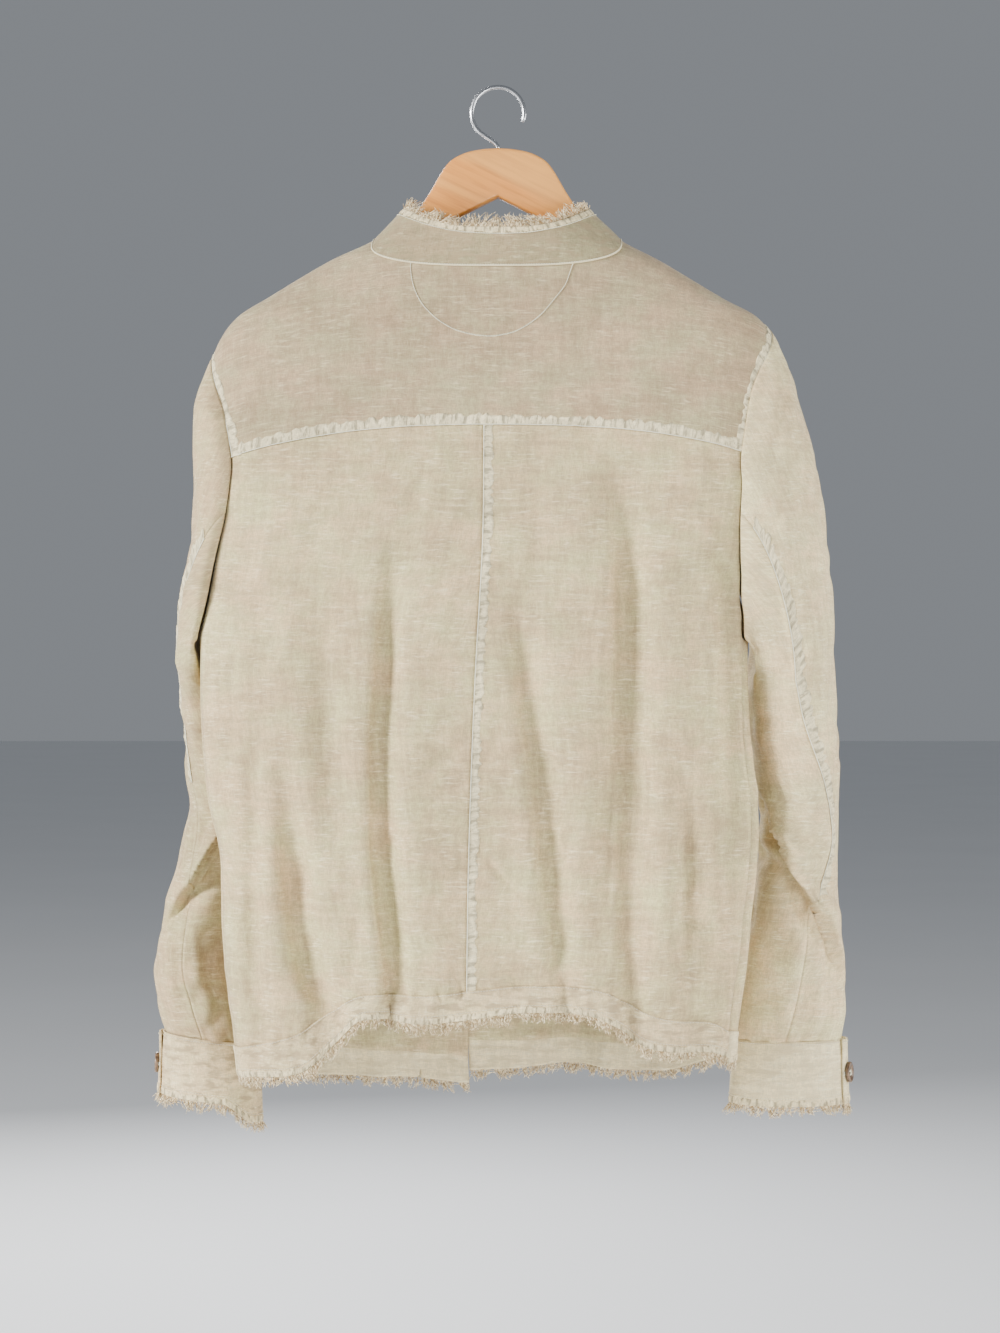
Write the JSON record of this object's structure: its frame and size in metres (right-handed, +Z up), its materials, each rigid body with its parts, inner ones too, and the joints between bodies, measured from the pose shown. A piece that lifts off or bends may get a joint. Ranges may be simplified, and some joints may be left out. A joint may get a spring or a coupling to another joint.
{
  "type": "band-collar linen jacket on a wooden clothes hanger",
  "caption": "Long-sleeved linen jacket with a band collar, back yoke, buttoned cuffs and frayed raw edges, hanging on a plain wooden hanger with a steel hook.",
  "frame": {"origin": "inside top of the hanger's hook, where it bears on a rail", "axes": "+Z up, +Y out of the jacket's back, +X towards the wearer's left"},
  "size_m": [0.6078, 0.2018, 0.8915],
  "materials": {
    "linen": "garment-dyed linen, washed, with pale puckered seams",
    "fray": "loose undyed linen threads",
    "wood": "clear satin lacquer on pale beech",
    "steel": "nickel-plated wire",
    "horn": "dark brown, semi-gloss, with a paler centre"
  },
  "bodies": {
    "root": {"hanger_wood": "wood", "hanger_hook": "steel", "yoke": "linen", "back_left": "linen", "back_right": "linen", "front_left": "linen", "front_right": "linen", "placket_left": "linen", "placket_right": "linen", "collar": "linen", "sleeve_left_top": "linen", "sleeve_left_under": "linen", "sleeve_right_top": "linen", "sleeve_right_under": "linen", "cuff_left": "linen", "cuff_right": "linen", "hem_back": "linen", "hem_front_left": "linen", "hem_front_right": "linen", "fray_collar": "fray", "fray_hem_back": "fray", "fray_hem_front_left": "fray", "fray_hem_front_right": "fray", "fray_cuff_left": "fray", "fray_cuff_right": "fray", "button_1": "horn", "button_2": "horn", "button_3": "horn", "button_4": "horn", "button_5": "horn", "button_cuff_left": "horn", "button_cuff_right": "horn"}
  },
  "joints": []
}
